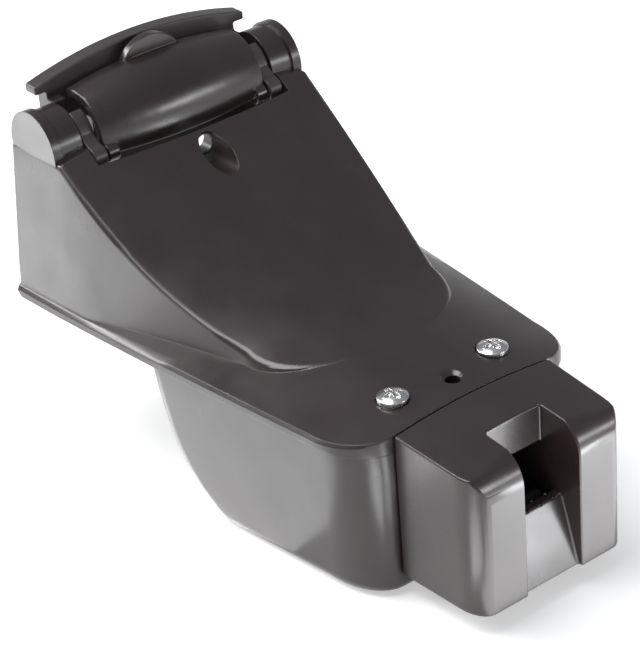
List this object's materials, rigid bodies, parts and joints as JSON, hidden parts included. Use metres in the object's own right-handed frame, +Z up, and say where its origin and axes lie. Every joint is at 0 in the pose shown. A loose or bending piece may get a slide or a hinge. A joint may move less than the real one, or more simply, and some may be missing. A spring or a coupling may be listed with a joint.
{
  "type": "transom-mount sonar transducer",
  "caption": "Black plastic transom-mount depth, speed and temperature transducer with a kick-up release bracket, hinged retaining cover and paddlewheel.",
  "frame": {"origin": "midway between the bracket's two fixing holes, on its back face, which lies on the transom", "axes": "+X to the right seen from behind the boat, +Y into the transom, +Z up"},
  "size_m": [0.0788, 0.1342, 0.0849],
  "materials": {
    "black_plastic": "moulded gloss",
    "wheel_plastic": "moulded satin",
    "steel": "bright stainless",
    "rubber": "matte",
    "magnet": "sintered",
    "ceramic": "fired, with metallised faces",
    "cork": "pressed cork",
    "epoxy": "cast",
    "board": "solder mask",
    "brass": "turned"
  },
  "bodies": {
    "bracket": {"transom_bracket": "black_plastic"},
    "cover": {"retaining_cover": "black_plastic"},
    "sensor": {"upper_housing": "black_plastic", "hull_shell": "black_plastic", "housing_gasket": "rubber", "paddlewheel_housing": "black_plastic", "clamp_screws": "steel", "paddlewheel_axle": "steel", "piezo_ceramic": "ceramic", "isolation_sleeve": "cork", "backing_disc": "cork", "encapsulant": "epoxy", "circuit_board": "board", "hall_sensor": "epoxy", "temperature_sensor": "brass", "cable_gland": "black_plastic", "gland_nut": "black_plastic", "gland_seal": "rubber"},
    "wheel": {"paddlewheel": "wheel_plastic", "wheel_magnets": "magnet"}
  },
  "joints": [
    {"name": "kick_up", "type": "hinge", "parent": "bracket", "child": "sensor", "pos_m": [0, -0.009, 0.0173], "axis": [-1, 0, 0], "range_deg": [0, 80]},
    {"name": "cover_open", "type": "hinge", "parent": "bracket", "child": "cover", "pos_m": [0, -0.0183, 0.0153], "axis": [-1, 0, 0], "range_deg": [-62, 0]},
    {"name": "paddlewheel_spin", "type": "hinge", "parent": "sensor", "child": "wheel", "pos_m": [0, -0.1175, -0.04], "axis": [1, 0, 0], "continuous": true}
  ]
}
